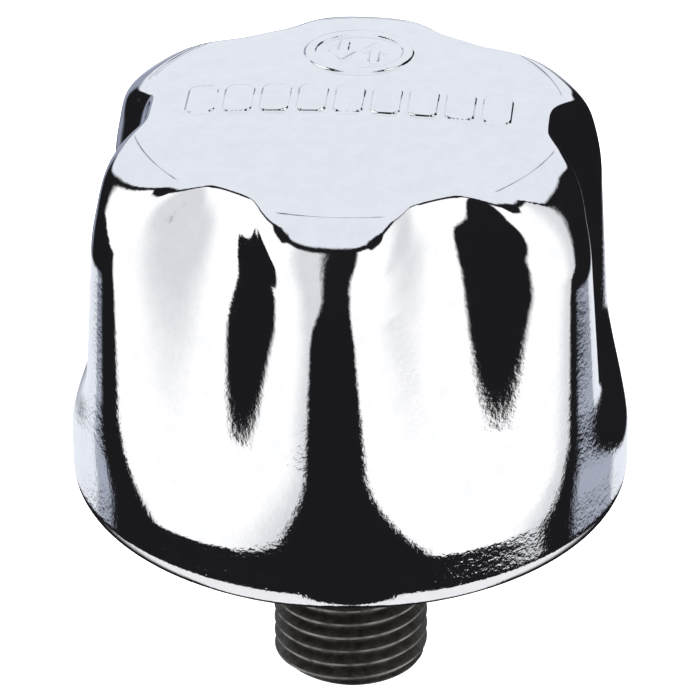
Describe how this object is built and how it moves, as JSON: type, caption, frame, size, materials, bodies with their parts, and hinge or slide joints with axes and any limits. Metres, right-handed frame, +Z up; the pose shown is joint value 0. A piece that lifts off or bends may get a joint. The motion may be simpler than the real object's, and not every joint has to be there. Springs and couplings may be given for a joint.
{
  "type": "filter breather cap",
  "caption": "Screwed air breather: fluted domed steel cap over a two-way poppet valve and a pleated filter, on a hollow threaded spigot.",
  "frame": {"origin": "on the thread axis, at the gasket face that seals on the tank", "axes": "+Z up along the thread axis, out of the tank; cap lobes point along +Y and -Y; +X completes the right-handed frame"},
  "size_m": [0.047, 0.047, 0.0534],
  "materials": {
    "chrome_plate": "bright chrome plate on drawn steel",
    "phosphated_steel": "dark oiled phosphate on turned steel",
    "zinc_steel": "bright zinc on pressed sheet",
    "steel_gauze": "stainless gauze",
    "spring_steel": "drawn spring wire",
    "valve_brass": "turned brass",
    "nitrile_rubber": "matt black rubber",
    "filter_paper": "resin-treated pleated paper"
  },
  "bodies": {
    "housing": {"cap_shell": "chrome_plate", "base_plate": "zinc_steel", "inlet_screen": "steel_gauze", "threaded_spigot": "phosphated_steel", "tank_gasket": "nitrile_rubber", "valve_cage": "zinc_steel", "spring_retainer": "zinc_steel", "pressure_spring": "spring_steel", "element_gasket": "nitrile_rubber", "filter_end_lower": "zinc_steel", "filter_core": "zinc_steel", "filter_media": "filter_paper", "filter_guard": "zinc_steel", "filter_end_upper": "zinc_steel", "holding_spring": "spring_steel", "spring_cup": "zinc_steel"},
    "pressure_valve": {"pressure_disc": "valve_brass", "pressure_seal": "nitrile_rubber", "intake_spring": "spring_steel"},
    "intake_valve": {"intake_disc": "valve_brass", "intake_seal": "nitrile_rubber", "intake_clip": "spring_steel"}
  },
  "joints": [
    {"name": "pressure_valve_lift", "type": "slide", "parent": "housing", "child": "pressure_valve", "axis": [0, 0, 1], "range_m": [0, 0.0012], "stiffness_N_per_m": 900, "springref_m": -0.003, "deforming": ["pressure_spring"]},
    {"name": "intake_valve_drop", "type": "slide", "parent": "pressure_valve", "child": "intake_valve", "axis": [0, 0, -1], "range_m": [0, 0.001], "stiffness_N_per_m": 50, "springref_m": -0.002, "deforming": ["intake_spring"]}
  ]
}
